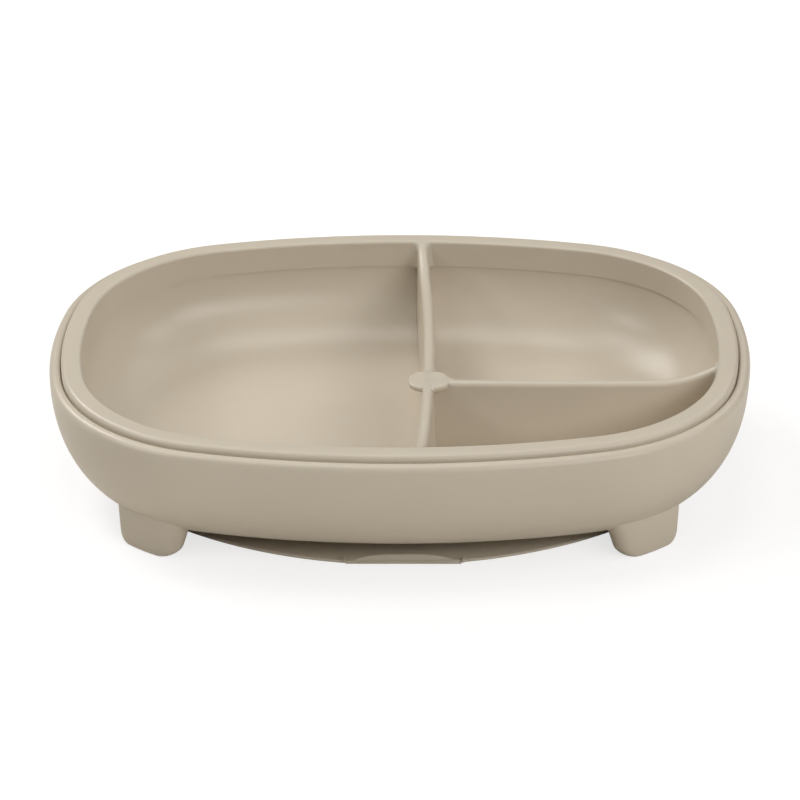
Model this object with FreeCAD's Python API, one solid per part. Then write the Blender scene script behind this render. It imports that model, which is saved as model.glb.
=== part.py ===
"""Baby suction plate: a deep oval bowl on four feet, a drop-in divider and a suction base.

Millimetres, +Z up. The origin is the middle of the footprint on the table, X runs along the
length of the plate, and -Y points to its front, where the pull tab is.

Plan shapes are ovals of tangent arcs. A cross-section is drawn as (u, z): u is the distance
outwards from the reference oval and z the height above the table. Turning that section about
the centre of each arc in turn gives a wall that keeps the same section all the way round.
"""
import FreeCAD, Part
import math
import os

from FreeCAD import Vector

# Opening of the plate, measured inside the rim of the divider
OPENING_HALF_LENGTH = 100.0
OPENING_HALF_WIDTH = 70.6
CORNER_RADIUS = 50.4
SIDE_ARC_ANGLE = 13.2
END_ARC_ANGLE = 9.2

# Rim of the divider, which drops into a rebate in the bowl
RIM_WIDTH = 6.4
RIM_DEPTH = 9.0
RIM_INNER_ROUND = 0.9
RIM_OUTER_ROUND = 1.6
RIM_GAP = 0.2
RIM_OVERHANG = 0.4
RIM_ABOVE_LIP = 1.9

# Bowl
LIP_WIDTH = 3.5
LIP_OUTER_ROUND = 2.1
LIP_INNER_ROUND = 0.9
HOLLOW_DEPTH = 23.0
HOLLOW_INSET = 24.0
FLOOR_THICKNESS = 6.0
BELLY_INSET = 21.5
GROUND_CLEARANCE = 7.0
CORE_MARGIN = 4.0

# Feet, one under each corner of the bowl
FOOT_INSET = 9.1
FOOT_THICKNESS = 7.0
FOOT_BOTTOM_WIDTH = 22.4
FOOT_SIDE_DRAFT = 10.0
FOOT_END_ROUND = 3.2
FOOT_EDGE_ROUND = 1.2
FOOT_DIRECTION = 55.0
FOOT_ROOT = 8.0

# Dividing walls
WALL_TOP_THICKNESS = 3.0
WALL_DRAFT = 2.0
WALL_DIP = 5.6
WALL_RISE_RUN = 19.0
WALL_EDGE_ROUND = 1.1
WALL_FLARE = 2.0
WALL_CLEARANCE = 0.3
CROSS_WALL_X = 6.5
CROSS_WALL_BOW = 2.7
SIDE_WALL_Y = -17.5
SIDE_WALL_BOW = 0.8

# Oval grip disc where the dividing walls meet, level with their tops, and the pit of its moulding gate
DISC_HALF_LENGTH = 6.2
DISC_HALF_WIDTH = 5.3
DISC_OFFSET_X = 0.4
DISC_OFFSET_Y = 0.7
DISC_SIDE_WALL_ROUND = 3.0
DISC_CROSS_WALL_ROUND = 1.2
DISC_THICKNESS = 1.8
DISC_EDGE_ROUND = 0.6
GATE_X = -0.9
GATE_Y = -0.1
GATE_RADIUS = 0.45
GATE_DEPTH = 0.3

# Suction base
BASE_END_CLEARANCE = 8.0
BASE_SIDE_CLEARANCE = 6.1
BASE_CORNER_STEP = 12.3
BASE_SIDE_ARC_ANGLE = 26.0
BASE_END_ARC_ANGLE = 18.0
BASE_EDGE_THICKNESS = 0.9
BASE_CONTACT_WIDTH = 5.0
BASE_NECK_INSET = 24.0
BASE_CEILING_INSET = 30.0
BASE_CEILING = 3.2
PLUG_SHOULDER = 2.0
PLUG_HEIGHT = 3.0
PLUG_CLEARANCE = 0.2

# Pull tab of the suction base
TAB_X = 1.7
TAB_WIDTH = 35.4
TAB_LENGTH = 8.0
TAB_END_RUN = 11.0
TAB_END_LEAN = 3.3
TAB_THICKNESS = 1.0
TAB_ANGLE = 50.0
TAB_SETBACK = 1.2
TAB_ROOT = 3.0
WEB_THICKNESS = 0.8
WEB_HEIGHT = 3.6
WEB_RUN = 4.0

# Heights above the table that follow from the sizes
UNDERSIDE = GROUND_CLEARANCE
FLOOR = UNDERSIDE + FLOOR_THICKNESS
LEDGE = FLOOR + HOLLOW_DEPTH
RIM_TOP = LEDGE + RIM_DEPTH
LIP_TOP = RIM_TOP - RIM_ABOVE_LIP
WALL_TOP = RIM_TOP - WALL_DIP

# Distances outwards from the opening that follow from the sizes
LIP_INSIDE = RIM_WIDTH + RIM_GAP
LIP_OUTSIDE = LIP_INSIDE + LIP_WIDTH
BELLY_FOOT = LIP_OUTSIDE - BELLY_INSET
HOLLOW_WALL = RIM_OVERHANG
HOLLOW_FOOT = HOLLOW_WALL - HOLLOW_INSET
CORE = min(BELLY_FOOT, HOLLOW_FOOT) - CORE_MARGIN

# The base follows the opening, a little smaller
BASE_HALF_LENGTH = OPENING_HALF_LENGTH - BASE_END_CLEARANCE
BASE_HALF_WIDTH = OPENING_HALF_WIDTH - BASE_SIDE_CLEARANCE
BASE_CORNER_RADIUS = BASE_HALF_WIDTH - BASE_CORNER_STEP

UP = Vector(0, 0, 1)
NEAR = 0.1
QUARTER_ELLIPSE_WEIGHT = math.sqrt(0.5)


def oval(half_length, half_width, corner_radius, side_angle, end_angle):
    """Arcs (centre, radius, start, end), in degrees, of an oval whose side, corner and end arcs are tangent.

    A side arc turns by side_angle each way from its middle, an end arc by end_angle, and a corner
    arc by the rest of the quarter. Going once round a quarter covers the half length and the half
    width, which gives two linear equations for the radii of the side and the end.
    """
    to_side = 90 - side_angle
    to_end = end_angle
    side_cosine = math.cos(math.radians(to_side))
    side_sine = math.sin(math.radians(to_side))
    end_cosine = math.cos(math.radians(to_end))
    end_sine = math.sin(math.radians(to_end))
    length_left = half_length - corner_radius * (end_cosine - side_cosine)
    width_left = half_width - corner_radius * (side_sine - end_sine)
    determinant = side_cosine * end_sine - (1 - end_cosine) * (1 - side_sine)
    side_radius = (length_left * end_sine - width_left * (1 - end_cosine)) / determinant
    end_radius = (width_left * side_cosine - length_left * (1 - side_sine)) / determinant
    side = Vector(0, half_width - side_radius, 0)
    end = Vector(half_length - end_radius, 0, 0)
    corner = end + Vector(end_cosine, end_sine, 0) * (end_radius - corner_radius)
    arcs = []
    for turn in (1, -1):
        middle = 90 if turn > 0 else 270
        tilt = 90 - to_side
        arcs.append((Vector(0, side.y * turn, 0), side_radius, middle - tilt, middle + tilt))
        middle = 0 if turn > 0 else 180
        arcs.append((Vector(end.x * turn, 0, 0), end_radius, middle - to_end, middle + to_end))
    starts = ((1, 1, to_end), (-1, 1, 180 - to_side), (-1, -1, 180 + to_end), (1, -1, 360 - to_side))
    for sign_x, sign_y, start in starts:
        centre = Vector(corner.x * sign_x, corner.y * sign_y, 0)
        arcs.append((centre, corner_radius, start, start + to_side - to_end))
    return arcs


def edge_of(outline, offset):
    """Closed wire of an outline moved outwards by offset, at the height of the table."""
    edges = []
    for centre, radius, start, end in outline:
        edges.append(Part.makeCircle(radius + offset, centre, UP, start, end))
    return Part.Wire(Part.__sortEdges__(edges))


def slab(outline, offset, bottom, top):
    """Flat plate with the plan of an outline moved outwards by offset."""
    wire = edge_of(outline, offset)
    wire.translate(Vector(0, 0, bottom))
    return Part.Face(wire).extrude(Vector(0, 0, top - bottom))


def reach(outline, offset, x=None, y=None):
    """How far the outline, moved outwards by offset, lies along +Y at x, or along +X at y."""
    box = edge_of(outline, offset).BoundBox
    if y is None:
        ray = Part.makeLine(Vector(x, 0, 0), Vector(x, 2 * box.YMax, 0))
        return ray.distToShape(edge_of(outline, offset))[1][0][0].y
    ray = Part.makeLine(Vector(0, y, 0), Vector(2 * box.XMax, y, 0))
    return ray.distToShape(edge_of(outline, offset))[1][0][0].x


def section(path):
    """Face in the XZ plane along a closed path of (u, z) points.

    A point with a third value is the corner of a box, and the path takes the quarter of an
    ellipse that fits that corner instead of passing through it.
    """
    edges = []
    count = len(path)
    for i, point in enumerate(path):
        if len(point) == 3:
            continue
        following = path[(i + 1) % count]
        start = Vector(point[0], 0, point[1])
        if len(following) == 2:
            edges.append(Part.makeLine(start, Vector(following[0], 0, following[1])))
            continue
        beyond = path[(i + 2) % count]
        curve = Part.BezierCurve()
        curve.setPoles([start, Vector(following[0], 0, following[1]), Vector(beyond[0], 0, beyond[1])])
        curve.setWeight(2, QUARTER_ELLIPSE_WEIGHT)
        edges.append(curve.toShape())
    return Part.Face(Part.Wire(edges))


def carry_round(path, outline):
    """Solid ring with the section of path, carried round an outline arc by arc."""
    face = section(path)
    parts = []
    for centre, radius, start, end in outline:
        placed = face.copy()
        placed.translate(Vector(radius, 0, 0))
        placed.rotate(Vector(0, 0, 0), UP, start)
        placed.translate(centre)
        parts.append(placed.revolve(centre, UP, end - start))
    return parts[0].fuse(parts[1:]).removeSplitter()


def mirrored(shape):
    """The shape and its mirror images in the XZ and YZ planes, four in all."""
    flipped = shape.mirror(Vector(0, 0, 0), Vector(1, 0, 0))
    pair = [shape, flipped]
    return pair + [half.mirror(Vector(0, 0, 0), Vector(0, 1, 0)) for half in pair]


def foot(opening):
    """One foot: a stretch of wall that follows the corner, with drafted, rounded ends."""
    outside = LIP_OUTSIDE - FOOT_INSET
    inside = outside - FOOT_THICKNESS
    top = UNDERSIDE + FOOT_ROOT
    wall = slab(opening, outside, 0, top).cut(slab(opening, inside, 0, top))
    half_bottom = FOOT_BOTTOM_WIDTH / 2
    half_top = half_bottom + top * math.tan(math.radians(FOOT_SIDE_DRAFT))
    front = Part.makePolygon([
        Vector(0, -half_bottom, 0),
        Vector(0, half_bottom, 0),
        Vector(0, half_top, top),
        Vector(0, -half_top, top),
        Vector(0, -half_bottom, 0),
    ])
    centre, corner_radius, _, _ = opening[4]
    block = Part.Face(front).extrude(Vector(corner_radius + outside + FOOT_THICKNESS, 0, 0))
    block.rotate(Vector(0, 0, 0), UP, FOOT_DIRECTION)
    block.translate(centre)
    solid = wall.common(block).Solids[0]
    upright = [e for e in solid.Edges if e.BoundBox.ZLength > top / 2]
    solid = solid.makeFillet(FOOT_END_ROUND, upright)
    ring = [e for e in solid.Edges if e.BoundBox.ZMax < NEAR]
    return solid.makeFillet(FOOT_EDGE_ROUND, ring)


def bowl_shell(opening, base):
    """The bowl with its rebate for the divider, its feet and the recess that takes the suction base."""
    belly_top = LIP_TOP - LIP_OUTER_ROUND
    path = [
        (CORE, UNDERSIDE),
        (BELLY_FOOT, UNDERSIDE),
        (LIP_OUTSIDE, UNDERSIDE, "corner"),
        (LIP_OUTSIDE, belly_top),
        (LIP_OUTSIDE, LIP_TOP, "corner"),
        (LIP_OUTSIDE - LIP_OUTER_ROUND, LIP_TOP),
        (LIP_INSIDE + LIP_INNER_ROUND, LIP_TOP),
        (LIP_INSIDE, LIP_TOP, "corner"),
        (LIP_INSIDE, LIP_TOP - LIP_INNER_ROUND),
        (LIP_INSIDE, LEDGE),
        (HOLLOW_WALL, LEDGE),
        (HOLLOW_WALL, FLOOR, "corner"),
        (HOLLOW_FOOT, FLOOR),
        (CORE, FLOOR),
    ]
    wall = carry_round(path, opening)
    bowl = wall.fuse(slab(opening, CORE, UNDERSIDE, FLOOR))
    bowl = bowl.fuse(mirrored(foot(opening))).removeSplitter()
    recess = slab(base, PLUG_CLEARANCE - BASE_NECK_INSET - PLUG_SHOULDER, UNDERSIDE, UNDERSIDE + PLUG_HEIGHT)
    return bowl.cut(recess)


def divider_space(opening):
    """Room that the dividing walls may fill: the hollow of the bowl less a clearance, and the rim above."""
    inside_rim = RIM_WIDTH / 2
    low = FLOOR + WALL_CLEARANCE
    wall = HOLLOW_WALL - WALL_CLEARANCE
    path = [
        (CORE, RIM_TOP),
        (inside_rim, RIM_TOP),
        (inside_rim, LEDGE),
        (wall, LEDGE),
        (wall, low, "corner"),
        (HOLLOW_FOOT, low),
        (CORE, low),
    ]
    return carry_round(path, opening).fuse(slab(opening, CORE, low, RIM_TOP)).removeSplitter()


def lengthwise(near, far, rises_near):
    """Side view of a dividing wall along X: a low top that sweeps up to the rim at one end or both.

    It reaches past the wall's ends and foot, so that it only shapes the top.
    """
    radius = (WALL_RISE_RUN ** 2 + WALL_DIP ** 2) / (2 * WALL_DIP)
    half_turn = math.asin(WALL_RISE_RUN / radius) / 2

    def sweep(end, away):
        low = Vector(end - away * WALL_RISE_RUN, 0, WALL_TOP)
        middle = low + Vector(away * radius * math.sin(half_turn), 0, radius * (1 - math.cos(half_turn)))
        high = Vector(end, 0, RIM_TOP)
        outer = Vector(end + away * RIM_WIDTH, 0, RIM_TOP)
        foot_point = Vector(outer.x, 0, UNDERSIDE)
        return low, foot_point, [
            Part.Arc(low, middle, high).toShape(),
            Part.makeLine(high, outer),
            Part.makeLine(outer, foot_point),
        ]

    low, far_foot, edges = sweep(far, 1)
    if rises_near:
        near_low, near_foot, near_edges = sweep(near, -1)
        edges += near_edges
    else:
        near_low = Vector(near - RIM_WIDTH, 0, WALL_TOP)
        near_foot = Vector(near_low.x, 0, UNDERSIDE)
        edges.append(Part.makeLine(near_low, near_foot))
    edges.append(Part.makeLine(near_low, low))
    edges.append(Part.makeLine(near_foot, far_foot))
    width = 4 * (WALL_TOP_THICKNESS + WALL_FLARE) + 2 * max(CROSS_WALL_BOW, SIDE_WALL_BOW)
    side = Part.Face(Part.Wire(Part.__sortEdges__(edges)))
    side.translate(Vector(0, -width / 2, 0))
    return side.extrude(Vector(0, width, 0))


def strip(near, far, bow, thickness, height):
    """Plan of a dividing wall, bowed towards -Y, as a closed wire."""
    half = thickness / 2
    middle = (near + far) / 2
    lower = Part.Arc(Vector(near, -half, height), Vector(middle, -half - bow, height),
                     Vector(far, -half, height)).toShape()
    upper = Part.Arc(Vector(far, half, height), Vector(middle, half - bow, height),
                     Vector(near, half, height)).toShape()
    far_end = Part.makeLine(Vector(far, -half, height), Vector(far, half, height))
    near_end = Part.makeLine(Vector(near, half, height), Vector(near, -half, height))
    return Part.Wire([lower, far_end, upper, near_end])


def flare(end, away):
    """Widening of a dividing wall where it runs into the rim, with a hollow round on each side."""
    half = WALL_TOP_THICKNESS / 2
    into = end + away * RIM_WIDTH / 3
    start = end - away * WALL_FLARE
    block = Part.makeBox(abs(into - start), 2 * (half + WALL_FLARE), RIM_DEPTH,
                         Vector(min(into, start), -half - WALL_FLARE, LEDGE))
    for side in (-1, 1):
        corner = Vector(start, side * (half + WALL_FLARE), LEDGE)
        block = block.cut(Part.makeCylinder(WALL_FLARE, RIM_DEPTH, corner, UP))
    return block


def dividing_wall(near, far, bow, rises_near=True):
    """One dividing wall along X: drafted sides, a swept top edge with round corners and flared ends."""
    beyond = RIM_WIDTH * 0.75
    start = near - beyond if rises_near else near
    spread = 2 * (RIM_TOP - FLOOR) * math.tan(math.radians(WALL_DRAFT))
    top = strip(start, far + beyond, bow, WALL_TOP_THICKNESS, RIM_TOP)
    bottom = strip(start, far + beyond, bow, WALL_TOP_THICKNESS + spread, FLOOR)
    side_view = lengthwise(near, far, rises_near)
    wall = Part.makeLoft([bottom, top], True, True).common(side_view).Solids[0]
    edges = [e for e in wall.Edges if e.BoundBox.ZMin > WALL_TOP - NEAR and e.BoundBox.XLength > 1]
    wall = wall.makeFillet(WALL_EDGE_ROUND, edges)
    flares = [flare(far, 1).common(side_view)]
    if rises_near:
        flares.append(flare(near, -1).common(side_view))
    return wall.fuse(flares)


def neck(radius, hollow):
    """Web from a disc about the origin into a wall along +X, with a hollow round on each side.

    A hollow round touches the disc and the face of the wall, so its centre follows from both.
    """
    half = WALL_TOP_THICKNESS / 2 + WALL_DIP * math.tan(math.radians(WALL_DRAFT))
    across = half + hollow
    along = math.sqrt((radius + hollow) ** 2 - across ** 2)
    waist = across * radius / (radius + hollow)
    web = Part.makeBox(along, 2 * waist, DISC_THICKNESS, Vector(0, -waist, 0))
    for side in (-1, 1):
        web = web.cut(Part.makeCylinder(hollow, DISC_THICKNESS, Vector(along, side * across, 0), UP))
    return web


def grip_disc(centre):
    """Oval disc drawn out into the side wall and both halves of the cross wall, with round edges."""
    plan = Part.Wire(Part.Ellipse(Vector(0, 0, 0), DISC_HALF_LENGTH, DISC_HALF_WIDTH).toShape())
    webs = [neck(DISC_HALF_LENGTH, DISC_SIDE_WALL_ROUND)]
    for turn in (90, -90):
        web = neck(DISC_HALF_WIDTH, DISC_CROSS_WALL_ROUND)
        web.rotate(Vector(0, 0, 0), UP, turn)
        webs.append(web)
    disc = Part.Face(plan).extrude(Vector(0, 0, DISC_THICKNESS)).fuse(webs).removeSplitter()
    rims = [e for e in disc.Edges if e.BoundBox.ZLength < NEAR and not isinstance(e.Curve, Part.Line)]
    disc = disc.makeFillet(DISC_EDGE_ROUND, rims)
    disc.translate(Vector(centre.x, centre.y, WALL_TOP - DISC_THICKNESS))
    return disc


def divider_insert(opening):
    """Rim ring, bowed dividing walls and grip disc, moulded as one piece."""
    path = [
        (0, LEDGE),
        (0, RIM_TOP - RIM_INNER_ROUND),
        (0, RIM_TOP, "corner"),
        (RIM_INNER_ROUND, RIM_TOP),
        (RIM_WIDTH - RIM_OUTER_ROUND, RIM_TOP),
        (RIM_WIDTH, RIM_TOP, "corner"),
        (RIM_WIDTH, RIM_TOP - RIM_OUTER_ROUND),
        (RIM_WIDTH, LEDGE),
    ]
    rim = carry_round(path, opening)

    half = reach(opening, 0, x=CROSS_WALL_X)
    cross = dividing_wall(-half, half, CROSS_WALL_BOW)
    cross.rotate(Vector(0, 0, 0), UP, 90)
    cross.translate(Vector(CROSS_WALL_X, 0, 0))

    bow_radius = (half ** 2 + CROSS_WALL_BOW ** 2) / (2 * CROSS_WALL_BOW)
    sag = bow_radius - math.sqrt(bow_radius ** 2 - SIDE_WALL_Y ** 2)
    junction = Vector(CROSS_WALL_X + CROSS_WALL_BOW - sag, SIDE_WALL_Y, 0)
    side = dividing_wall(junction.x, reach(opening, 0, y=SIDE_WALL_Y), SIDE_WALL_BOW, rises_near=False)
    side.translate(Vector(0, SIDE_WALL_Y, 0))

    disc_centre = junction + Vector(DISC_OFFSET_X, DISC_OFFSET_Y, 0)
    gate_place = disc_centre + Vector(GATE_X, GATE_Y, WALL_TOP - GATE_DEPTH)
    gate = Part.makeCylinder(GATE_RADIUS, GATE_DEPTH, gate_place, UP)

    walls = cross.fuse(side).common(divider_space(opening))
    return rim.fuse([walls, grip_disc(disc_centre)]).removeSplitter().cut(gate)


def tab_outline():
    """Face of the pull tab in the XZ plane: a straight hinge, and a free edge that runs out to two points.

    Each end of the free edge is a parabola that leaves the hinge at a slant and ends level.
    """
    half = TAB_WIDTH / 2
    inner = half - TAB_END_RUN
    ends = []
    for side in (-1, 1):
        curve = Part.BezierCurve()
        curve.setPoles([Vector(side * half, 0, 0), Vector(side * (half - TAB_END_LEAN), 0, TAB_LENGTH),
                        Vector(side * inner, 0, TAB_LENGTH)])
        ends.append(curve.toShape())
    hinge = Part.makeLine(Vector(-half, 0, 0), Vector(half, 0, 0))
    free = Part.makeLine(Vector(-inner, 0, TAB_LENGTH), Vector(inner, 0, TAB_LENGTH))
    return Part.Face(Part.Wire(Part.__sortEdges__([hinge, ends[0], free, ends[1]])))


def pull_tab():
    """Flap that rises from the front of the skirt, with a root in the skirt and a small web at each end."""
    half = TAB_WIDTH / 2
    hinge = TAB_SETBACK - BASE_HALF_WIDTH
    flat = tab_outline()
    flap = flat.extrude(Vector(0, TAB_THICKNESS, 0))
    flap.rotate(Vector(0, 0, 0), Vector(1, 0, 0), 90 - TAB_ANGLE)
    flap.translate(Vector(0, hinge, 0))
    root = Part.makeBox(TAB_WIDTH, TAB_ROOT, TAB_THICKNESS, Vector(-half, hinge, 0))
    web_outline = Part.makePolygon([
        Vector(0, hinge, 0),
        Vector(0, hinge + WEB_RUN, 0),
        Vector(0, hinge, WEB_HEIGHT),
        Vector(0, hinge, 0),
    ])
    web = Part.Face(web_outline).extrude(Vector(WEB_THICKNESS, 0, 0))
    left = web.translated(Vector(-half - WEB_THICKNESS, 0, 0))
    right = web.translated(Vector(half, 0, 0))
    tab = flap.fuse([root, left, right])
    tab.translate(Vector(TAB_X, 0, 0))
    return tab


def suction_base(base):
    """Oval suction cup with a thin flared skirt, a conical cavity, a plug for the bowl and a pull tab.

    The skirt stops at the hinge of the tab.
    """
    neck = -BASE_NECK_INSET
    ceiling = -BASE_CEILING_INSET
    core = ceiling - PLUG_SHOULDER
    path = [
        (-BASE_CONTACT_WIDTH, 0),
        (0, 0),
        (0, BASE_EDGE_THICKNESS),
        (neck, BASE_EDGE_THICKNESS, "corner"),
        (neck, UNDERSIDE),
        (core, UNDERSIDE),
        (core, BASE_CEILING),
        (ceiling, BASE_CEILING),
    ]
    hinge = TAB_SETBACK - BASE_HALF_WIDTH
    before_tab = Part.makeBox(BASE_HALF_LENGTH, BASE_HALF_WIDTH, UNDERSIDE,
                              Vector(TAB_X - BASE_HALF_LENGTH / 2, hinge - BASE_HALF_WIDTH, 0))
    skirt = carry_round(path, base).cut(before_tab)
    cup = skirt.fuse([
        slab(base, core, BASE_CEILING, UNDERSIDE),
        slab(base, neck - PLUG_SHOULDER, UNDERSIDE, UNDERSIDE + PLUG_HEIGHT),
        pull_tab(),
    ])
    return cup.removeSplitter()


def main():
    opening = oval(OPENING_HALF_LENGTH, OPENING_HALF_WIDTH, CORNER_RADIUS, SIDE_ARC_ANGLE, END_ARC_ANGLE)
    base = oval(BASE_HALF_LENGTH, BASE_HALF_WIDTH, BASE_CORNER_RADIUS,
                BASE_SIDE_ARC_ANGLE, BASE_END_ARC_ANGLE)
    nodes = {
        "bowl_shell": bowl_shell(opening, base),
        "divider_insert": divider_insert(opening),
        "suction_base": suction_base(base),
    }
    os.makedirs("parts", exist_ok=True)
    for name, shape in nodes.items():
        box = shape.optimalBoundingBox(False)
        print(name, "solids", len(shape.Solids), "valid", shape.isValid(), "faces", len(shape.Faces),
              "volume", round(shape.Volume / 1000, 1), "cm3",
              "x", round(box.XMin, 2), round(box.XMax, 2),
              "y", round(box.YMin, 2), round(box.YMax, 2),
              "z", round(box.ZMin, 2), round(box.ZMax, 2))
        shape.exportStep("parts/" + name + ".step")


main()
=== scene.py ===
"""Looks of the baby suction plate: a silicone bowl on four feet, a drop-in divider and a suction base.

The file is laid out as an add-on and run as a script. Sizes in the property groups are in metres;
shapes are worked out in millimetres, in the frame of the CAD model: origin in the middle of the
footprint on the table, X along the plate, -Y to the front, Z up.
"""

import math

import bmesh
import bpy
import numpy as np
from bpy.props import FloatProperty, FloatVectorProperty, PointerProperty
from mathutils import Matrix, Vector


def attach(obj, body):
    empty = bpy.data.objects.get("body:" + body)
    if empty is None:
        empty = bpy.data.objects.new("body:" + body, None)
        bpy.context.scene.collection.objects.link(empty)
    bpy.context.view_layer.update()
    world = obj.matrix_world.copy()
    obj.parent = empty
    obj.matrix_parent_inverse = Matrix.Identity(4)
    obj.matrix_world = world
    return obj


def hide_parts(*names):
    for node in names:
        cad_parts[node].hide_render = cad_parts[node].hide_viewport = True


bl_info = {
    "name": "Baby Suction Plate",
    "version": (1, 0, 0),
    "blender": (4, 5, 0),
    "location": "3D View > Sidebar > Plate",
    "description": "Builds a silicone suction plate with a drop-in divider, and a studio stage",
    "category": "Add Mesh",
}

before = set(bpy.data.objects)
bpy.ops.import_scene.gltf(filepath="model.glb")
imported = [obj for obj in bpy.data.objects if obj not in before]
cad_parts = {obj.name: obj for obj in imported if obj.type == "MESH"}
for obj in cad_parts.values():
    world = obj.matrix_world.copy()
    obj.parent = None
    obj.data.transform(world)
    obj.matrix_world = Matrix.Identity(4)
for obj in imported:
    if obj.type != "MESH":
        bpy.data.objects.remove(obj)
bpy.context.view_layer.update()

MM = 0.001

# Points round a full outline, per quarter turn of a rounded edge, and across a large curve
ROUND_STEPS = 560
EDGE_STEPS = 7
CURVE_STEPS = 42
SHARP_ANGLE = math.radians(38)

# Points closer than this are one point, in metres
SAME_POINT = 1e-7

# How far the disc stands above the tops of the walls, in millimetres, so that no two faces share a plane
DISC_LIFT = 0.02

# Sizes of the patterns on the silicone: clouding, change of gloss, slow waves and grain, in millimetres
CLOUD_SIZE = 40
GLOSS_SIZE = 9
WAVE_SIZE = 22
GRAIN_SIZE = 0.35

# Depth of the waves and of the grain, in millimetres, and how strongly they show
WAVE_DEPTH = 0.25
WAVE_STRENGTH = 0.25
GRAIN_DEPTH = 0.05
GRAIN_STRENGTH = 0.08

# The board: half its side and the distances between which its white grows, in metres, and that white
BOARD_HALF = 3.0
WHITE_FROM = 0.3
WHITE_TO = 0.9
NEAR_WHITE = 0.72

# Light that comes from all round, against the white that the camera sees
SURROUND = 0.04

# Lamps: name, degrees round the plate from the front to the right, degrees up, size in metres, watts
LAMP_DISTANCE = 1.3
LAMPS = (
    ("key soft box", -132, 42, (0.6, 0.6), 7.2),
    ("high soft box", -90, 62, (0.5, 0.5), 3.0),
    ("left strip box", -66, 34, (0.55, 0.2), 2.4),
    ("front soft box", 38, 33, (1.0, 0.4), 7.0),
    ("right soft box", 88, 36, (0.5, 0.5), 2.3),
    ("back soft box", 140, 42, (0.7, 0.5), 1.2),
    ("overhead lamp", 180, 86, (0.5, 0.5), 2.8),
)

# The camera, fitted to the photograph. In pixels: the picture's side, the focal length and the point
# that the lens looks at straight on
PHOTO_SIDE = 800
FOCAL_PIXELS = 3635
MIDDLE_ACROSS = 399.7
MIDDLE_DOWN = 338.5

# In degrees: how far it looks down, and its turns about the upright and about its own line of sight
CAMERA_RISE = 27.09
CAMERA_YAW = -1.03
CAMERA_ROLL = -0.49

# In metres: its distance from the point it looks at, and how high that point lies
CAMERA_DISTANCE = 1.146
CAMERA_AIM = 0.045

# Width of the camera's sensor, in millimetres
SENSOR_WIDTH = 36.0


def length(name, description, millimetres):
    """A length property whose default is given in millimetres."""
    return FloatProperty(name=name, description=description, default=millimetres * MM, unit="LENGTH")


def angle(name, description, degrees):
    """An angle property whose default is given in degrees."""
    return FloatProperty(name=name, description=description, default=math.radians(degrees), subtype="ANGLE")


def ratio(name, description, default):
    """A plain number property."""
    return FloatProperty(name=name, description=description, default=default)


def linear(hex_colour):
    """Linear RGB of an sRGB hex colour."""
    channels = [int(hex_colour[i:i + 2], 16) / 255 for i in (1, 3, 5)]
    return tuple(c / 12.92 if c <= 0.04045 else ((c + 0.055) / 1.055) ** 2.4 for c in channels)


def colour(name, description, hex_colour):
    """A colour property whose default is an sRGB hex colour."""
    return FloatVectorProperty(name=name, description=description, subtype="COLOR", size=3,
                               min=0, max=1, default=linear(hex_colour))


class PlateSizes(bpy.types.PropertyGroup):
    """Sizes that all three mouldings share."""

    half_length: length("Half length", "Half the length of the opening inside the rim", 100.0)
    half_width: length("Half width", "Half the width of the opening inside the rim", 70.6)
    corner_radius: length("Corner radius", "Radius of the corner arcs", 50.4)
    side_angle: angle("Side arc", "Turn of a side arc each way from its middle", 13.2)
    end_angle: angle("End arc", "Turn of an end arc each way from its middle", 9.2)
    clearance: length("Ground clearance", "Height of the flat underside above the table", 7.0)
    floor_thickness: length("Floor thickness", "Thickness of the floor of the bowl", 6.0)
    hollow_depth: length("Hollow depth", "Depth of the hollow below the ledge", 23.0)
    rim_depth: length("Rim depth", "Height of the divider's rim above the ledge", 9.0)


class BowlSizes(bpy.types.PropertyGroup):
    """Sizes of the bowl and its feet."""

    lip_inside: length("Lip inside", "Distance from the opening to the inside of the lip", 6.6)
    lip_outside: length("Lip outside", "Distance from the opening to the outside of the lip", 10.1)
    lip_drop: length("Lip drop", "How far the lip lies below the divider's rim", 1.9)
    lip_outer_round: length("Lip outer round", "Round on the outside of the lip", 2.1)
    lip_inner_round: length("Lip inner round", "Round on the inside of the lip", 0.9)
    ledge_overhang: length("Ledge", "How far the ledge stops behind the rim's inside", 0.4)
    hollow_inset: length("Hollow inset", "Width of the hollow's curved side", 24.0)
    belly_inset: length("Belly inset", "Width of the belly's curved side", 21.5)
    foot_inset: length("Foot inset", "Distance from the outside of the lip to a foot", 9.1)
    foot_thickness: length("Foot thickness", "Thickness of a foot", 7.0)
    foot_outer_half: length("Foot outer half", "Width of a foot at the table on the side of the end", 12.0)
    foot_inner_half: length("Foot inner half", "Width of a foot at the table on the side of the middle", 9.6)
    foot_outer_draft: angle("Foot outer draft", "Slope of a foot's side towards the end", 4)
    foot_inner_draft: angle("Foot inner draft", "Slope of a foot's side towards the middle", 17)
    foot_end_round: length("Foot end round", "Round of a foot's upright edges", 3.2)
    foot_corner_round: length("Foot corner round", "Round of a foot's lower corners, seen from outside", 3.6)
    foot_edge_round: length("Foot edge round", "Round of a foot's lower edges", 0.9)
    foot_direction: angle("Foot direction", "Where a foot lies on the arc of its corner", 55)
    foot_root: length("Foot root", "How far a foot reaches up into the bowl", 8.0)


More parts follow.
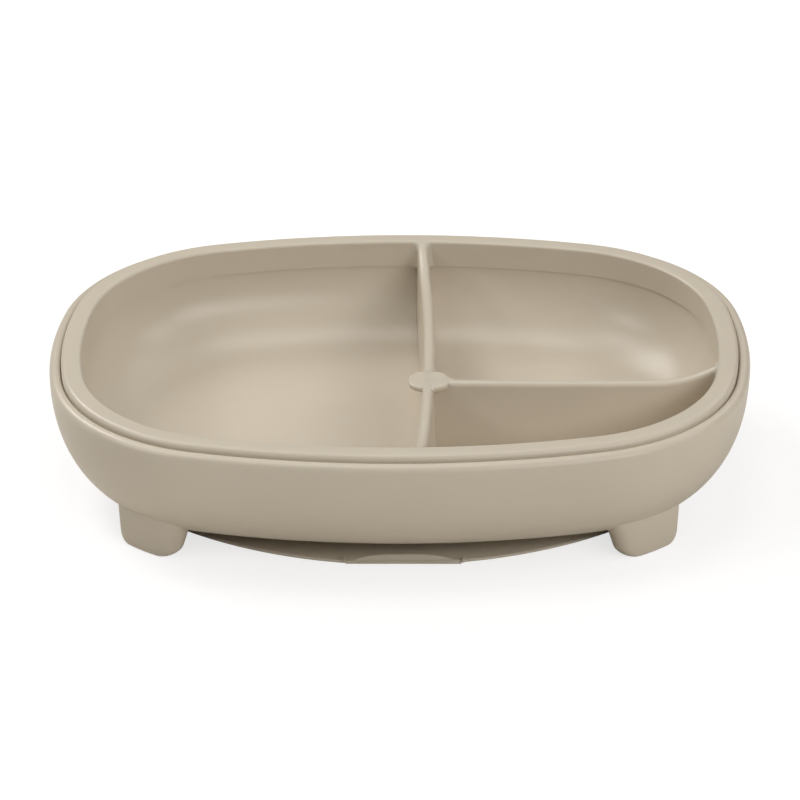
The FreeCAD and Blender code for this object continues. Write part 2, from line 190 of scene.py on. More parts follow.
class DividerSizes(bpy.types.PropertyGroup):
    """Sizes of the divider."""

    rim_width: length("Rim width", "Width of the rim", 6.4)
    rim_inner_round: length("Inner round", "Round on the inside of the rim", 0.9)
    rim_outer_round: length("Outer round", "Round on the outside of the rim", 1.6)
    wall_thickness: length("Wall thickness", "Thickness of a wall at the height of the rim", 3.0)
    wall_draft: angle("Wall draft", "Slope of each face of a wall", 2)
    wall_dip: length("Wall dip", "How far the top of a wall lies below the rim", 5.6)
    wall_rise: length("Wall rise", "Length over which a wall sweeps up to the rim", 19.0)
    wall_sink: length("Wall sink", "How far below the rim's top a wall meets the rim", 0.35)
    wall_round: length("Wall round", "Round on the top edges of a wall", 1.55)
    wall_flare: length("Wall flare", "Round where a wall runs into the rim", 2.0)
    wall_gap: length("Wall gap", "Gap between a wall and the bowl", 0.3)
    cross_place: length("Cross wall place", "Where the ends of the cross wall lie along X", 6.5)
    cross_bow: length("Cross wall bow", "How far the cross wall bows to the right", 2.7)
    side_place: length("Side wall place", "Where the ends of the side wall lie along Y", -17.5)
    side_bow: length("Side wall bow", "How far the side wall bows to the front", 0.8)
    disc_half_length: length("Disc half length", "Half the length of the grip disc", 6.4)
    disc_half_width: length("Disc half width", "Half the width of the grip disc", 5.7)
    disc_fullness: ratio("Disc fullness", "Exponent of the disc's oval, 2 for an ellipse", 2.4)
    disc_x: length("Disc along X", "Where the disc lies from the middle of the junction", 0.2)
    disc_y: length("Disc along Y", "Where the disc lies from the middle of the junction", 0.5)
    disc_side_round: length("Disc to side wall", "Hollow round between the disc and the side wall", 3.0)
    disc_cross_round: length("Disc to cross wall", "Hollow round between the disc and the cross wall", 1.2)
    disc_thickness: length("Disc thickness", "Thickness of the grip disc", 1.8)
    disc_round: length("Disc round", "Round on the edges of the grip disc", 0.6)
    gate_x: length("Gate along X", "Where the gate mark lies from the middle of the disc", -0.9)
    gate_y: length("Gate along Y", "Where the gate mark lies from the middle of the disc", -0.1)
    gate_radius: length("Gate radius", "Radius of the gate mark", 0.45)
    gate_depth: length("Gate depth", "Depth of the gate mark", 0.3)


class BaseSizes(bpy.types.PropertyGroup):
    """Sizes of the suction base and its pull tab."""

    half_length: length("Half length", "Half the length of the skirt", 90.0)
    half_width: length("Half width", "Half the width of the skirt", 64.2)
    corner_radius: length("Corner radius", "Radius of the corner arcs", 57.1)
    side_angle: angle("Side arc", "Turn of a side arc each way from its middle", 34.4)
    end_angle: angle("End arc", "Turn of an end arc each way from its middle", 18)
    edge: length("Edge", "Thickness of the skirt at its edge", 0.9)
    edge_round: length("Edge round", "Round on the edge of the skirt", 0.4)
    contact: length("Contact", "Width of the ring that touches the table", 5.0)
    neck_inset: length("Neck inset", "Distance from the edge of the skirt to the neck", 24.0)
    ceiling_inset: length("Ceiling inset", "Distance from the edge to the ceiling of the cavity", 30.0)
    ceiling: length("Ceiling", "Height of the cavity", 3.2)
    plug_shoulder: length("Plug shoulder", "Step from the neck to the plug", 2.0)
    plug_height: length("Plug height", "Height of the plug", 3.0)
    plug_gap: length("Plug gap", "Gap round the plug", 0.2)
    tab_x: length("Tab place", "Where the middle of the pull tab lies along X", 1.7)
    tab_width: length("Tab width", "Width of the pull tab", 35.4)
    tab_length: length("Tab length", "Length of the pull tab", 3.2)
    tab_fullness: ratio("Tab fullness", "Exponent of the tab's free edge: more for a flatter middle", 3.6)
    tab_thickness: length("Tab thickness", "Thickness of the pull tab", 1.0)
    tab_angle: angle("Tab angle", "Angle of the pull tab to the table", 125)
    tab_setback: length("Tab setback", "How far the hinge lies inside the edge of the skirt", 0.9)
    web_thickness: length("Web thickness", "Thickness of the web at its foot", 1.0)
    web_height: length("Web height", "Height of the web at each end of the tab", 3.0)
    web_run: length("Web run", "Length of the web at each end of the tab", 4.0)


class Finish(bpy.types.PropertyGroup):
    """Colours of the silicone and the stage."""

    silicone: colour("Silicone", "Colour of the silicone", "#CCC1AF")
    floor: colour("Floor", "Colour of the floor", "#E6E2DB")
    shadow: colour("Floor seen", "Colour of the floor below the white that the camera sees", "#A1A09E")
    roughness: ratio("Roughness", "Roughness of the silicone", 0.3)


class PlateSettings(bpy.types.PropertyGroup):
    """Everything a user may change."""

    plate: PointerProperty(type=PlateSizes)
    bowl: PointerProperty(type=BowlSizes)
    divider: PointerProperty(type=DividerSizes)
    base: PointerProperty(type=BaseSizes)
    finish: PointerProperty(type=Finish)


class Sizes:
    """The lengths of a property group in millimetres, and its other values as they are."""

    def __init__(self, group):
        for key, item in group.bl_rna.properties.items():
            value = getattr(group, key)
            if getattr(item, "unit", "NONE") == "LENGTH":
                value = value / MM
            if item.type == "FLOAT":
                setattr(self, key, value)


# Shapes

def oval_arcs(sizes):
    """Turns at which the arcs of an oval's first quarter meet, and centres and radii of end, corner and side.

    The normal turns by the end angle e along the end and by the side angle along the side; t is a
    right angle less the side angle. With a corner of radius C the radii E and S of end and side
    follow from S cos t + E (1 - cos e) = a - C (cos e - cos t) and
    S (1 - sin t) + E sin e = b - C (sin t - sin e), a and b being the half length and the half width.
    """
    turns = np.array([sizes.end_angle, math.pi / 2 - sizes.side_angle])
    (end_cosine, side_cosine), (end_sine, side_sine) = np.cos(turns), np.sin(turns)
    corner = sizes.corner_radius
    side, end = np.linalg.solve(
        [[side_cosine, 1 - end_cosine], [1 - side_sine, end_sine]],
        [sizes.half_length - corner * (end_cosine - side_cosine),
         sizes.half_width - corner * (side_sine - end_sine)])
    centres = np.array([
        [sizes.half_length - end, 0],
        [sizes.half_length - end + (end - corner) * end_cosine, (end - corner) * end_sine],
        [0, sizes.half_width - side],
    ])
    return turns, centres, np.array([end, corner, side])


def oval(sizes):
    """Centres, radii and normals at even steps round an oval of tangent arcs.

    A point that lies u outside the oval is centre + (radius + u) * normal.
    """
    limits, centres, radii = oval_arcs(sizes)
    quarter = np.array([0, *limits, math.pi / 2])
    turns = np.concatenate([quarter, math.pi - quarter[2::-1], math.pi + quarter[1:],
                            2 * math.pi - quarter[2::-1]])
    arc_radii = np.concatenate([radii, radii[::-1], radii, radii[::-1]])
    lengths = np.concatenate([[0], np.cumsum(np.diff(turns) * arc_radii)])
    turn = np.interp(np.linspace(0, lengths[-1], ROUND_STEPS, endpoint=False), lengths, turns)
    normal = np.column_stack([np.cos(turn), np.sin(turn)])
    which = np.digitize(np.arcsin(np.abs(normal[:, 1])), limits)
    return centres[which] * np.sign(normal), radii[which], normal


def outwards(sizes, x, y):
    """How far points lie outside an oval: their distance to the centre of its nearest arc less the radius."""
    limits, centres, radii = oval_arcs(sizes)
    x = np.abs(x)
    y = np.abs(y)
    from_end = np.arctan2(y, x - centres[0, 0])
    from_side = np.arctan2(y - centres[2, 1], x)
    which = np.where(from_end < limits[0], 0, np.where(from_side > limits[1], 2, 1))
    return np.hypot(x - centres[which, 0], y - centres[which, 1]) - radii[which]


def section(points):
    """Points (u, z) along straight lines and quarter ellipses.

    A point with a third value is the corner of a box; the path takes the quarter ellipse
    o + (a - o) cos t + (b - o) sin t from the point a before it to the point b after it, where
    o is the opposite corner, in as many steps as the third value says.
    """
    found = []
    for i, point in enumerate(points):
        if len(point) == 2:
            found.append(np.array([point], float))
            continue
        a = np.array(points[i - 1][:2])
        b = np.array(points[(i + 1) % len(points)][:2])
        opposite = a + b - np.array(point[:2])
        turn = np.linspace(0, math.pi / 2, point[2] + 1)[1:-1, None]
        found.append(opposite + (a - opposite) * np.cos(turn) + (b - opposite) * np.sin(turn))
    return np.concatenate(found)


def swept(outline, path):
    """Grid of rings: each (u, z) of the path carried round the outline along its normals."""
    centre, radius, normal = outline
    plan = centre + (radius + path[:, :1])[..., None] * normal
    height = np.broadcast_to(path[:, 1:, None], plan.shape[:2] + (1,))
    return np.concatenate([plan, height], axis=2)


def shell(grid, closed=False):
    """Points, quads and triangles of a stack of closed rings.

    The last ring joins the first one, or each end is closed by a fan about the middle of its ring.
    """
    rings, steps, _ = grid.shape
    index = np.arange(rings * steps).reshape(rings, steps)
    beside = np.roll(index, -1, axis=1)
    if closed:
        above = np.roll(index, -1, axis=0)
        above_beside = np.roll(beside, -1, axis=0)
        quads = np.stack([index, beside, above_beside, above], axis=2).reshape(-1, 4)
        return grid.reshape(-1, 3), quads, np.empty((0, 3), int)
    quads = np.stack([index[:-1], beside[:-1], beside[1:], index[1:]], axis=2).reshape(-1, 4)
    middles = np.stack([grid[0].mean(axis=0), grid[-1].mean(axis=0)])
    first = np.column_stack([beside[0], index[0], np.full(steps, rings * steps)])
    last = np.column_stack([index[-1], beside[-1], np.full(steps, rings * steps + 1)])
    return np.concatenate([grid.reshape(-1, 3), middles]), quads, np.concatenate([first, last])


def make_piece(name, shells, material, node):
    """Mesh object at the origin from shells in millimetres, riding with the body in place of a CAD node."""
    points = []
    faces = []
    count = 0
    for vertices, quads, triangles in shells:
        points.append(vertices)
        faces += (quads + count).tolist() + (triangles + count).tolist()
        count += len(vertices)
    mesh = bpy.data.meshes.new(name)
    mesh.from_pydata(np.concatenate(points) * MM, [], faces)
    work = bmesh.new()
    work.from_mesh(mesh)
    bmesh.ops.remove_doubles(work, verts=work.verts, dist=SAME_POINT)
    bmesh.ops.dissolve_degenerate(work, edges=work.edges, dist=SAME_POINT)
    bmesh.ops.recalc_face_normals(work, faces=work.faces)
    work.to_mesh(mesh)
    work.free()
    mesh.shade_smooth()
    mesh.set_sharp_from_angle(angle=SHARP_ANGLE)
    mesh.materials.append(material)
    piece = bpy.data.objects.new(name, mesh)
    bpy.context.scene.collection.objects.link(piece)
    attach(piece, "root")
    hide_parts(node)
    return piece


def foot_shell(plate, bowl, mirror_x, mirror_y):
    """One foot: rounded rectangles stacked in Z and bent round the corner arc.

    At height z each half is w + z tan(draft) wide. Near the table the width shrinks by
    r - sqrt(r^2 - (r - z)^2), r being the round of the lower corners, and the thickness by the same
    with the round of the lower edges. A point t to the side of the foot's middle line, p away from
    the centre of the arc, is turned from that line by asin(t / p).
    """
    _, centres, radii = oval_arcs(plate)
    middle = radii[1] + bowl.lip_outside - bowl.foot_inset - bowl.foot_thickness / 2
    corner = bowl.foot_corner_round
    heights = np.concatenate([
        np.linspace(plate.clearance + bowl.foot_root, corner, EDGE_STEPS, endpoint=False),
        corner * (1 - np.sin(np.linspace(0, math.pi / 2, 3 * EDGE_STEPS))),
    ])[:, None]

    def lost(edge):
        return edge - np.sqrt(edge ** 2 - np.clip(edge - heights, 0, None) ** 2)

    end_round = bowl.foot_end_round - lost(bowl.foot_edge_round)
    to_middle = bowl.foot_inner_half + heights * math.tan(bowl.foot_inner_draft) - lost(corner) - end_round
    to_end = bowl.foot_outer_half + heights * math.tan(bowl.foot_outer_draft) - lost(corner) - end_round
    half_thickness = bowl.foot_thickness / 2 - bowl.foot_end_round
    quarter = np.linspace(0, math.pi / 2, EDGE_STEPS)
    straight = np.linspace(1, -1, 2 * EDGE_STEPS)[1:-1]
    one = np.ones(EDGE_STEPS)
    turn = np.concatenate([quarter, np.full(straight.size, math.pi / 2), quarter + math.pi / 2])
    side = np.concatenate([one, straight, -one])
    turn = np.concatenate([turn, turn + math.pi])
    side = np.concatenate([side, -side])
    face = np.repeat([1, -1], side.size // 2)
    across = (to_middle - to_end) / 2 + side * (to_middle + to_end) / 2 + end_round * np.cos(turn)
    distance = middle + face * half_thickness + end_round * np.sin(turn)
    direction = bowl.foot_direction + np.arcsin(across / distance)
    grid = np.stack([
        centres[1, 0] + distance * np.cos(direction),
        centres[1, 1] + distance * np.sin(direction),
        np.broadcast_to(heights, distance.shape),
    ], axis=2)
    return shell(grid * np.array([mirror_x, mirror_y, 1]))


def wall_shell(near_point, far_point, bow, plate, bowl, divider, rises_near):
    """One dividing wall as a row of sections from a near to a far point, bowed to the right of that line.

    Along the line the wall is set aside by bow (1 - c^2), c running from -1 to 1. A section has
    drafted faces, half thickness t / 2 + (rim - z) tan(draft), and a round top. Its top follows a
    circle up to the rim over the rise. Its foot follows the hollow of the bowl, whose side is a
    quarter ellipse. Above the ledge, at a distance d from the rim, it is wider by
    f - sqrt(f^2 - (f - d)^2) on each side, f being the flare.
    """
    low = plate.clearance + plate.floor_thickness + divider.wall_gap
    ledge = low - divider.wall_gap + plate.hollow_depth
    rim_top = ledge + plate.rim_depth
    line = np.subtract(far_point, near_point)
    far = math.hypot(*line)
    line = line / far
    beyond = divider.rim_width / 2
    fine = divider.wall_flare
    span = np.concatenate([
        np.linspace(-beyond, fine, 2 * EDGE_STEPS, endpoint=False) if rises_near else [0],
        np.linspace(fine, far - fine, 2 * CURVE_STEPS, endpoint=False),
        np.linspace(far - fine, far + beyond, 2 * EDGE_STEPS),
    ])
    to_rim = far - span
    if rises_near:
        to_rim = np.minimum(to_rim, span)

    drop = divider.wall_dip - divider.wall_sink
    sweep_radius = (divider.wall_rise ** 2 + drop ** 2) / (2 * drop)
    lean = np.clip(divider.wall_rise - to_rim, 0, divider.wall_rise)
    top = rim_top - divider.wall_dip + sweep_radius - np.sqrt(sweep_radius ** 2 - lean ** 2)
    shoulder = top - divider.wall_round
    middle = near_point + span[:, None] * line
    aside = bow * (1 - (2 * span / far - 1) ** 2)

    to_opening = -outwards(plate, middle[:, 0] + aside * line[1], middle[:, 1] - aside * line[0])
    flare_reach = np.clip(divider.wall_flare - to_opening, 0, divider.wall_flare)
    flare = divider.wall_flare - np.sqrt(divider.wall_flare ** 2 - flare_reach ** 2)
    hollow_end = bowl.ledge_overhang - divider.wall_gap
    hollow_width = bowl.hollow_inset - divider.wall_gap
    share = np.clip(1 - (hollow_end + to_opening) / hollow_width, 0, 1)
    foot = low + (ledge - low) * (1 - np.sqrt(1 - share ** 2))

    def half_at(height):
        return divider.wall_thickness / 2 + (rim_top - height) * math.tan(divider.wall_draft)

    levels = np.linspace(0, 1, EDGE_STEPS)
    below = foot + (ledge - foot) * levels[:, None]
    above = ledge + (shoulder - ledge) * levels[:, None]
    turn = np.linspace(0, math.pi / 2, EDGE_STEPS)[1:, None]
    crown_half = half_at(shoulder) + flare - divider.wall_round
    half = np.concatenate([half_at(below), half_at(above) + flare,
                           crown_half + divider.wall_round * np.cos(turn)])
    height = np.concatenate([below, above, shoulder + divider.wall_round * np.sin(turn)])
    across = np.concatenate([half, -half[::-1]]).T - aside[:, None]
    height = np.concatenate([height, height[::-1]]).T
    return shell(np.stack([
        middle[:, :1] - across * line[1],
        middle[:, 1:] + across * line[0],
        height,
    ], axis=2))


def disc_shell(centre, divider, top):
    """Oval grip disc, drawn out into the dividing walls by hollow rounds, with the pit of the gate mark.

    Round the disc at angle t the edge lies at r(t): that of the oval, with the fullness n
    (|cos t / a|^n + |sin t / b|^n)^(-1 / n), or, towards a wall, where the ray meets a hollow round
    of radius q about (x, y): c - sqrt(c^2 - x^2 - y^2 + q^2) with c = x cos t + y |sin t|. Along
    each drawn-out part the top takes on the round top of the wall.
    """
    slope = math.tan(divider.wall_draft)
    half_wall = divider.wall_thickness / 2 + divider.wall_dip * slope
    low = top - divider.disc_thickness
    edge_round = divider.disc_round
    reach = divider.disc_half_length
    path = section([
        (divider.gate_radius, low),
        (reach - edge_round, low),
        (reach, low, EDGE_STEPS),
        (reach, low + edge_round),
        (reach, top - edge_round),
        (reach, top, EDGE_STEPS),
        (reach - edge_round, top),
    ])
    inwards = np.linspace(reach - edge_round, divider.gate_radius, 2 * EDGE_STEPS)[1:]
    path = np.concatenate([
        path,
        np.column_stack([inwards, np.full(inwards.size, top)]),
        [[divider.gate_radius, top - divider.gate_depth]],
    ])
    turn = np.linspace(-math.pi, math.pi, ROUND_STEPS // 2, endpoint=False)
    fullness = divider.disc_fullness
    edge = (np.abs(np.cos(turn) / reach) ** fullness
            + np.abs(np.sin(turn) / divider.disc_half_width) ** fullness) ** (-1 / fullness)
    necks = []
    for direction, radius, hollow in (
            (0, reach, divider.disc_side_round),
            (math.pi / 2, divider.disc_half_width, divider.disc_cross_round),
            (-math.pi / 2, divider.disc_half_width, divider.disc_cross_round)):
        side = half_wall + hollow
        along = math.sqrt((radius + hollow) ** 2 - side ** 2)
        bend = turn - direction
        toward = along * np.cos(bend) + side * np.abs(np.sin(bend))
        inside = np.clip(toward ** 2 - along ** 2 - side ** 2 + hollow ** 2, 0, None)
        strip = np.minimum(toward - np.sqrt(inside), along / np.clip(np.cos(bend), 0.1, 1))
        edge = np.where(np.cos(bend) > math.cos(math.atan2(side, along)), np.maximum(strip, edge), edge)
        necks.append((bend, radius - edge_round, along))
    share = path[:, :1] / reach
    out = share * edge
    height = np.broadcast_to(path[:, 1:] + DISC_LIFT, out.shape)
    for bend, start, along in necks:
        passed = np.clip((out * np.cos(bend) - start) / (along - start), 0, 1)
        over = np.clip(np.abs(out * np.sin(bend)) - half_wall + divider.wall_round, 0, divider.wall_round)
        crown = divider.wall_round - np.sqrt(divider.wall_round ** 2 - over ** 2)
        height = np.minimum(height, top + DISC_LIFT - passed * (crown + 2 * DISC_LIFT))
    to_gate = np.clip(1 - 2 * share, 0, 1)
    return shell(np.stack([
        centre[0] + out * np.cos(turn) + to_gate * divider.gate_x,
        centre[1] + out * np.sin(turn) + to_gate * divider.gate_y,
        height,
    ], axis=2))


def bowl_shells(plate, bowl, base):
    """The bowl as one section carried round the opening, closed over floor and underside, and its feet."""
    opening = oval(plate)
    underside = plate.clearance
    floor = underside + plate.floor_thickness
    ledge = floor + plate.hollow_depth
    rim_top = ledge + plate.rim_depth
    lip_top = rim_top - bowl.lip_drop
    belly_foot = bowl.lip_outside - bowl.belly_inset
    hollow_wall = bowl.ledge_overhang
    path = section([
        (belly_foot, underside),
        (bowl.lip_outside, underside, CURVE_STEPS),
        (bowl.lip_outside, lip_top - bowl.lip_outer_round),
        (bowl.lip_outside, lip_top, EDGE_STEPS + 3),
        (bowl.lip_outside - bowl.lip_outer_round, lip_top),
        (bowl.lip_inside + bowl.lip_inner_round, lip_top),
        (bowl.lip_inside, lip_top, EDGE_STEPS),
        (bowl.lip_inside, lip_top - bowl.lip_inner_round),
        (bowl.lip_inside, ledge),
        (hollow_wall, ledge),
        (hollow_wall, floor, CURVE_STEPS),
        (hollow_wall - bowl.hollow_inset, floor),
    ])
    recess = swept(oval(base), np.array([
        (base.plug_gap - base.neck_inset - base.plug_shoulder, underside + base.plug_height),
        (base.plug_gap - base.neck_inset - base.plug_shoulder, underside),
    ]))
    grid = np.concatenate([recess, swept(opening, path)])
    feet = [foot_shell(plate, bowl, x, y) for x in (1, -1) for y in (1, -1)]
    return [shell(grid)] + feet


def reach_of(outline, offset, axis, value):
    """How far the outline, moved outwards by offset, reaches along the other axis at a value on one axis."""
    centre, radius, normal = outline
    plan = centre + (radius + offset)[:, None] * normal
    ahead = plan[plan[:, 1 - axis] > 0]
    order = np.argsort(ahead[:, axis])
    return float(np.interp(value, ahead[order, axis], ahead[order, 1 - axis]))


def divider_shells(plate, bowl, divider):
    """Rim, bowed cross wall, side wall and grip disc."""
    opening = oval(plate)
    ledge = plate.clearance + plate.floor_thickness + plate.hollow_depth
    rim_top = ledge + plate.rim_depth
    width = divider.rim_width
    path = section([
        (0, ledge),
        (0, rim_top - divider.rim_inner_round),
        (0, rim_top, EDGE_STEPS),
        (divider.rim_inner_round, rim_top),
        (width - divider.rim_outer_round, rim_top),
        (width, rim_top, EDGE_STEPS + 2),
        (width, rim_top - divider.rim_outer_round),
        (width, ledge),
    ])
    rim = shell(swept(opening, path), closed=True)
    half = reach_of(opening, 0, 0, divider.cross_place)
    cross = wall_shell((divider.cross_place, -half), (divider.cross_place, half), divider.cross_bow,
                       plate, bowl, divider, True)
    junction = divider.cross_place + divider.cross_bow * (1 - (divider.side_place / half) ** 2)
    far = reach_of(opening, 0, 1, divider.side_place)
    side = wall_shell((junction, divider.side_place), (far, divider.side_place), divider.side_bow,
                      plate, bowl, divider, False)
    disc = disc_shell((junction + divider.disc_x, divider.side_place + divider.disc_y), divider,
                      rim_top - divider.wall_dip)
    return [rim, cross, side, disc]


def tab_shell(base):
    """Pull tab raised about its straight edge; its free edge runs out to a point at each end.

    Along the tab, from c = -1 to 1, the free edge lies L (1 - |c|^n) from the straight edge, n being
    the fullness. What a tab that leans back would push below the table is flat on it.
    """
    share = np.sin(np.linspace(-math.pi / 2, math.pi / 2, 2 * CURVE_STEPS))
    across = share * base.tab_width / 2
    free = base.tab_length * (1 - np.abs(share) ** base.tab_fullness)
    radius = base.tab_thickness / 2
    flat = np.clip(free - radius, 0, None)[:, None]
    along = np.linspace(0, 1, EDGE_STEPS)
    tip = np.linspace(-math.pi / 2, math.pi / 2, 2 * EDGE_STEPS)[1:-1]
    out = np.concatenate([flat * along, flat + np.minimum(free, radius)[:, None] * np.cos(tip),
                          flat * along[::-1]], axis=1)
    level = radius * np.concatenate([np.zeros(EDGE_STEPS), 1 + np.sin(tip), np.full(EDGE_STEPS, 2)])
    sine = math.sin(base.tab_angle)
    cosine = math.cos(base.tab_angle)
    return shell(np.stack([
        np.broadcast_to(across[:, None] + base.tab_x, out.shape),
        base.tab_setback - base.half_width - out * cosine + level * sine,
        np.maximum(out * sine + level * cosine, 0),
    ], axis=2))


def web_shell(base, side):
    """Thin upright web behind one end of the tab, a hollow triangle from the front and from the side.

    From the foot up its half thickness falls as w (1 - h)^2, h running from 0 to 1, and its height
    falls the same way from the tab to the back.
    """
    share = np.linspace(0, 1, EDGE_STEPS)
    taper = (1 - share) ** 2
    half = base.web_thickness / 2
    across = half * np.concatenate([taper, -taper[::-1]])
    rise = np.concatenate([share, share[::-1]])
    depth = share[:, None]
    start = base.tab_setback - base.half_width
    height = base.edge / 2 + base.web_height * (1 - depth) ** 2 * rise
    return shell(np.stack([
        np.broadcast_to(base.tab_x + side * (base.tab_width / 2 + half) + across, height.shape),
        np.broadcast_to(start + base.web_run * depth, height.shape),
        height,
    ], axis=2))


def base_shells(plate, base):
    """Suction base: skirt, neck, plug and cavity as one section carried round its oval, and the pull tab."""
    outline = oval(base)
    underside = plate.clearance
    neck = -base.neck_inset
    ceiling = -base.ceiling_inset
    edge = base.edge
    path = section([
        (neck - base.plug_shoulder, underside + base.plug_height),
        (neck - base.plug_shoulder, underside),
        (neck, underside),
        (neck, edge, CURVE_STEPS),
        (-base.edge_round, edge),
        (0, edge, EDGE_STEPS),
        (0, edge - base.edge_round),
        (0, base.edge_round),
        (0, 0, EDGE_STEPS),
        (-base.edge_round, 0),
        (-base.contact, 0),
        (ceiling, base.ceiling),
    ])
    grid = swept(outline, path)
    hinge = base.tab_setback - base.half_width
    grid[..., 1] = np.maximum(grid[..., 1], hinge)
    return [shell(grid), tab_shell(base), web_shell(base, -1), web_shell(base, 1)]


# Materials

def add_node(tree, kind, settings=None, **inputs):
    """Adds a node, sets its properties and its sockets, and links sockets that are given as outputs."""
    node = tree.nodes.new(kind)
    for key, value in (settings or {}).items():
        setattr(node, key, value)
    for key, value in inputs.items():
        socket = node.inputs[key.replace("_", " ")]
        if isinstance(value, bpy.types.NodeSocket):
            tree.links.new(value, socket)
        else:
            socket.default_value = value
    return node


def moulded_silicone(name, finish):
    """Liquid silicone rubber from a blasted mould: an even satin surface, faintly translucent."""
    material = bpy.data.materials.new(name)
    material.use_nodes = True
    tree = material.node_tree
    tree.nodes.clear()
    place = add_node(tree, "ShaderNodeTexCoord").outputs["Object"]
    cloud = add_node(tree, "ShaderNodeTexNoise", Vector=place, Scale=1 / (CLOUD_SIZE * MM), Detail=2.0)
    shade = add_node(tree, "ShaderNodeMapRange", Value=cloud.outputs["Fac"], To_Min=0.975, To_Max=1.02)
    tint = add_node(tree, "ShaderNodeHueSaturation", Value=shade.outputs["Result"],
                    Color=(*finish.silicone, 1))
    matt = add_node(tree, "ShaderNodeTexNoise", Vector=place, Scale=1 / (GLOSS_SIZE * MM), Detail=3.0)
    gloss = add_node(tree, "ShaderNodeMapRange", Value=matt.outputs["Fac"],
                     To_Min=finish.roughness - 0.04, To_Max=finish.roughness + 0.05)
    grain = add_node(tree, "ShaderNodeTexNoise", Vector=place, Scale=1 / (GRAIN_SIZE * MM), Detail=2.0)
    fine = add_node(tree, "ShaderNodeBump", Height=grain.outputs["Fac"], Strength=GRAIN_STRENGTH,
                    Distance=GRAIN_DEPTH * MM)
    wave = add_node(tree, "ShaderNodeTexNoise", Vector=place, Scale=1 / (WAVE_SIZE * MM), Detail=1.0)
    slow = add_node(tree, "ShaderNodeBump", Height=wave.outputs["Fac"], Strength=WAVE_STRENGTH,
                    Distance=WAVE_DEPTH * MM, Normal=fine.outputs["Normal"])
    shader = add_node(tree, "ShaderNodeBsdfPrincipled", Base_Color=tint.outputs["Color"],
                      Roughness=gloss.outputs["Result"], Normal=slow.outputs["Normal"], IOR=1.41,
                      Subsurface_Weight=0.08, Subsurface_Radius=(1.0, 0.7, 0.45), Subsurface_Scale=2.5 * MM)
    add_node(tree, "ShaderNodeOutputMaterial", Surface=shader.outputs["BSDF"])
    return material


def painted_floor(finish):
    """Matt painted board under the plate; it shows white to the camera and keeps the plate's shadow.

    What the camera sees of its white grows with the distance, where the lamps no longer reach.
    """
    material = bpy.data.materials.new("matt painted board")
    material.use_nodes = True
    tree = material.node_tree
    tree.nodes.clear()
    paint = add_node(tree, "ShaderNodeBsdfDiffuse", Color=(*finish.floor, 1))
    veiled = add_node(tree, "ShaderNodeBsdfDiffuse", Color=(*finish.shadow, 1))
    place = add_node(tree, "ShaderNodeTexCoord").outputs["Object"]
    far = add_node(tree, "ShaderNodeVectorMath", {"operation": "LENGTH"}, Vector=place)
    white = add_node(tree, "ShaderNodeMapRange", Value=far.outputs["Value"], From_Min=WHITE_FROM,
                     From_Max=WHITE_TO, To_Min=NEAR_WHITE, To_Max=1.0)
    glow = add_node(tree, "ShaderNodeEmission", Color=(1, 1, 1, 1), Strength=white.outputs["Result"])
    lit = add_node(tree, "ShaderNodeAddShader")
    tree.links.new(veiled.outputs["BSDF"], lit.inputs[0])
    tree.links.new(glow.outputs["Emission"], lit.inputs[1])
    ray = add_node(tree, "ShaderNodeLightPath")
    seen = add_node(tree, "ShaderNodeMixShader", Fac=ray.outputs["Is Camera Ray"])
    tree.links.new(paint.outputs["BSDF"], seen.inputs[1])
    tree.links.new(lit.outputs["Shader"], seen.inputs[2])
    add_node(tree, "ShaderNodeOutputMaterial", Surface=seen.outputs["Shader"])
    return material


# Operators

def silicone_of(settings):
    """The silicone that all three mouldings share, made once."""
    name = "moulded silicone rubber, satin"
    return bpy.data.materials.get(name) or moulded_silicone(name, settings.finish)


class PLATE_OT_bowl(bpy.types.Operator):
    """Make the bowl with its feet"""

    bl_idname = "suction_plate.bowl"
    bl_label = "Bowl"

    def execute(self, context):
        settings = context.scene.suction_plate
        shells = bowl_shells(Sizes(settings.plate), Sizes(settings.bowl), Sizes(settings.base))
        piece = make_piece("bowl", shells, silicone_of(settings), "bowl_shell")
        return {"FINISHED"}


class PLATE_OT_divider(bpy.types.Operator):
    """Make the divider with its rim, walls and grip disc"""

    bl_idname = "suction_plate.divider"
    bl_label = "Divider"

    def execute(self, context):
        settings = context.scene.suction_plate
        shells = divider_shells(Sizes(settings.plate), Sizes(settings.bowl), Sizes(settings.divider))
        piece = make_piece("divider", shells, silicone_of(settings), "divider_insert")
        return {"FINISHED"}


class PLATE_OT_base(bpy.types.Operator):
    """Make the suction base with its pull tab"""

    bl_idname = "suction_plate.base"
    bl_label = "Suction base"

    def execute(self, context):
        settings = context.scene.suction_plate
        shells = base_shells(Sizes(settings.plate), Sizes(settings.base))
        piece = make_piece("base", shells, silicone_of(settings), "suction_base")
        return {"FINISHED"}


def add_lamp(name, azimuth, elevation, size, watts):
    """Soft box turned to the plate, at degrees round it from the front to the right and degrees up."""
    data = bpy.data.lights.new(name, "AREA")
    data.shape = "RECTANGLE"
    data.size, data.size_y = size
    data.energy = watts
    lamp = bpy.data.objects.new(name, data)
    turn = math.radians(azimuth)
    rise = math.radians(elevation)
    way = Vector((math.sin(turn) * math.cos(rise), -math.cos(turn) * math.cos(rise), math.sin(rise)))
    place = way * LAMP_DISTANCE
    lamp.matrix_world = Matrix.Translation(place) @ (-way).to_track_quat("-Z", "Y").to_matrix().to_4x4()
    bpy.context.scene.collection.objects.link(lamp)


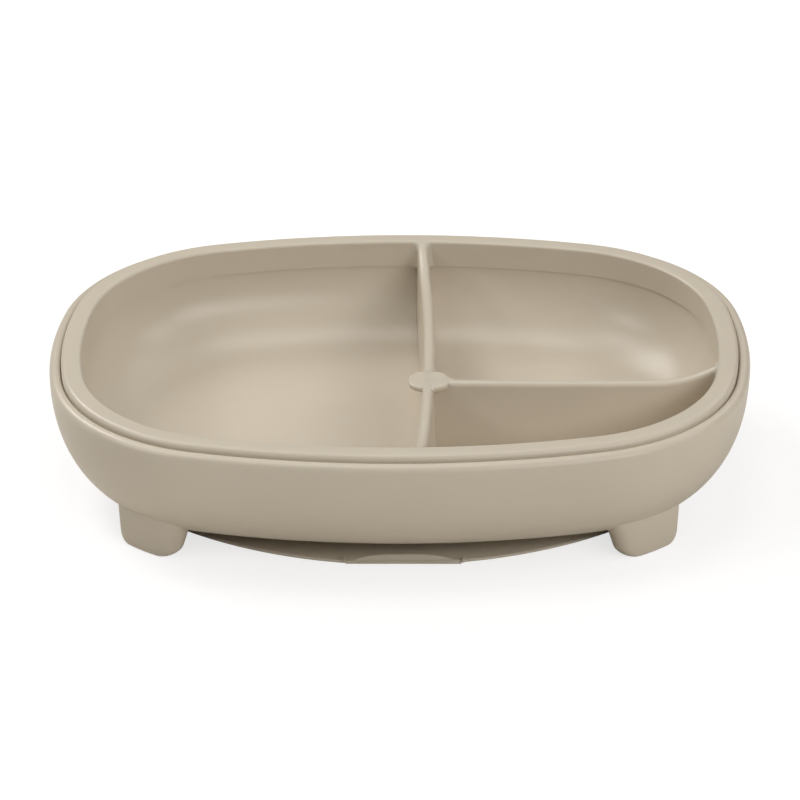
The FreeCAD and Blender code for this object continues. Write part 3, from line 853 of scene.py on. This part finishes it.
class PLATE_OT_stage(bpy.types.Operator):
    """Make the floor, the lamps, the world and the camera"""

    bl_idname = "suction_plate.stage"
    bl_label = "Stage"

    def execute(self, context):
        scene = context.scene
        finish = scene.suction_plate.finish
        half = BOARD_HALF
        mesh = bpy.data.meshes.new("floor")
        mesh.from_pydata([(-half, -half, 0), (half, -half, 0), (half, half, 0), (-half, half, 0)], [],
                         [(0, 1, 2, 3)])
        mesh.materials.append(painted_floor(finish))
        floor = bpy.data.objects.new("floor", mesh)
        scene.collection.objects.link(floor)

        world = bpy.data.worlds.new("studio")
        world.use_nodes = True
        tree = world.node_tree
        tree.nodes.clear()
        ray = add_node(tree, "ShaderNodeLightPath")
        soft = add_node(tree, "ShaderNodeBackground", Color=(1, 1, 1, 1), Strength=SURROUND)
        white = add_node(tree, "ShaderNodeBackground", Color=(1, 1, 1, 1), Strength=1.0)
        shown = add_node(tree, "ShaderNodeMixShader", Fac=ray.outputs["Is Camera Ray"])
        tree.links.new(soft.outputs["Background"], shown.inputs[1])
        tree.links.new(white.outputs["Background"], shown.inputs[2])
        add_node(tree, "ShaderNodeOutputWorld", Surface=shown.outputs["Shader"])
        scene.world = world

        for lamp in LAMPS:
            add_lamp(*lamp)

        data = bpy.data.cameras.new("camera")
        data.sensor_fit = "HORIZONTAL"
        data.sensor_width = SENSOR_WIDTH
        data.lens = SENSOR_WIDTH * FOCAL_PIXELS / PHOTO_SIDE
        camera = bpy.data.objects.new("camera", data)
        scene.collection.objects.link(camera)
        elevation = math.radians(CAMERA_RISE)
        yaw = math.radians(CAMERA_YAW)
        roll = math.radians(CAMERA_ROLL)
        centre = Vector((0, 0, CAMERA_AIM))
        back = Vector((-math.sin(yaw) * math.cos(elevation), -math.cos(yaw) * math.cos(elevation),
                       math.sin(elevation)))
        place = centre + back * CAMERA_DISTANCE
        facing = (-back).to_track_quat("-Z", "Y").to_matrix().to_4x4()
        pitch = math.atan((PHOTO_SIDE / 2 - MIDDLE_DOWN) / FOCAL_PIXELS)
        turn = math.atan((PHOTO_SIDE / 2 - MIDDLE_ACROSS) / FOCAL_PIXELS)
        camera.matrix_world = (Matrix.Translation(place) @ facing @ Matrix.Rotation(turn, 4, "Y")
                               @ Matrix.Rotation(-pitch, 4, "X") @ Matrix.Rotation(roll, 4, "Z"))
        scene.camera = camera
        scene.view_settings.view_transform = "Standard"
        return {"FINISHED"}


class PLATE_PT_panel(bpy.types.Panel):
    """The plate's pieces, in the order in which they are made"""

    bl_label = "Baby suction plate"
    bl_idname = "PLATE_PT_panel"
    bl_space_type = "VIEW_3D"
    bl_region_type = "UI"
    bl_category = "Plate"

    def draw(self, context):
        for operator in OPERATORS:
            self.layout.operator(operator.bl_idname)
        for group in ("plate", "bowl", "divider", "base", "finish"):
            box = self.layout.box()
            owner = getattr(context.scene.suction_plate, group)
            for key in owner.__annotations__:
                box.prop(owner, key)


OPERATORS = (PLATE_OT_bowl, PLATE_OT_divider, PLATE_OT_base, PLATE_OT_stage)
GROUPS = (PlateSizes, BowlSizes, DividerSizes, BaseSizes, Finish, PlateSettings)
CLASSES = GROUPS + OPERATORS + (PLATE_PT_panel,)


def register():
    for item in CLASSES:
        bpy.utils.register_class(item)
    bpy.types.Scene.suction_plate = PointerProperty(type=PlateSettings)


def unregister():
    del bpy.types.Scene.suction_plate
    for item in reversed(CLASSES):
        bpy.utils.unregister_class(item)


def main():
    register()
    bpy.ops.suction_plate.bowl()
    bpy.ops.suction_plate.divider()
    bpy.ops.suction_plate.base()
    bpy.ops.suction_plate.stage()


if __name__ == "__main__":
    main()
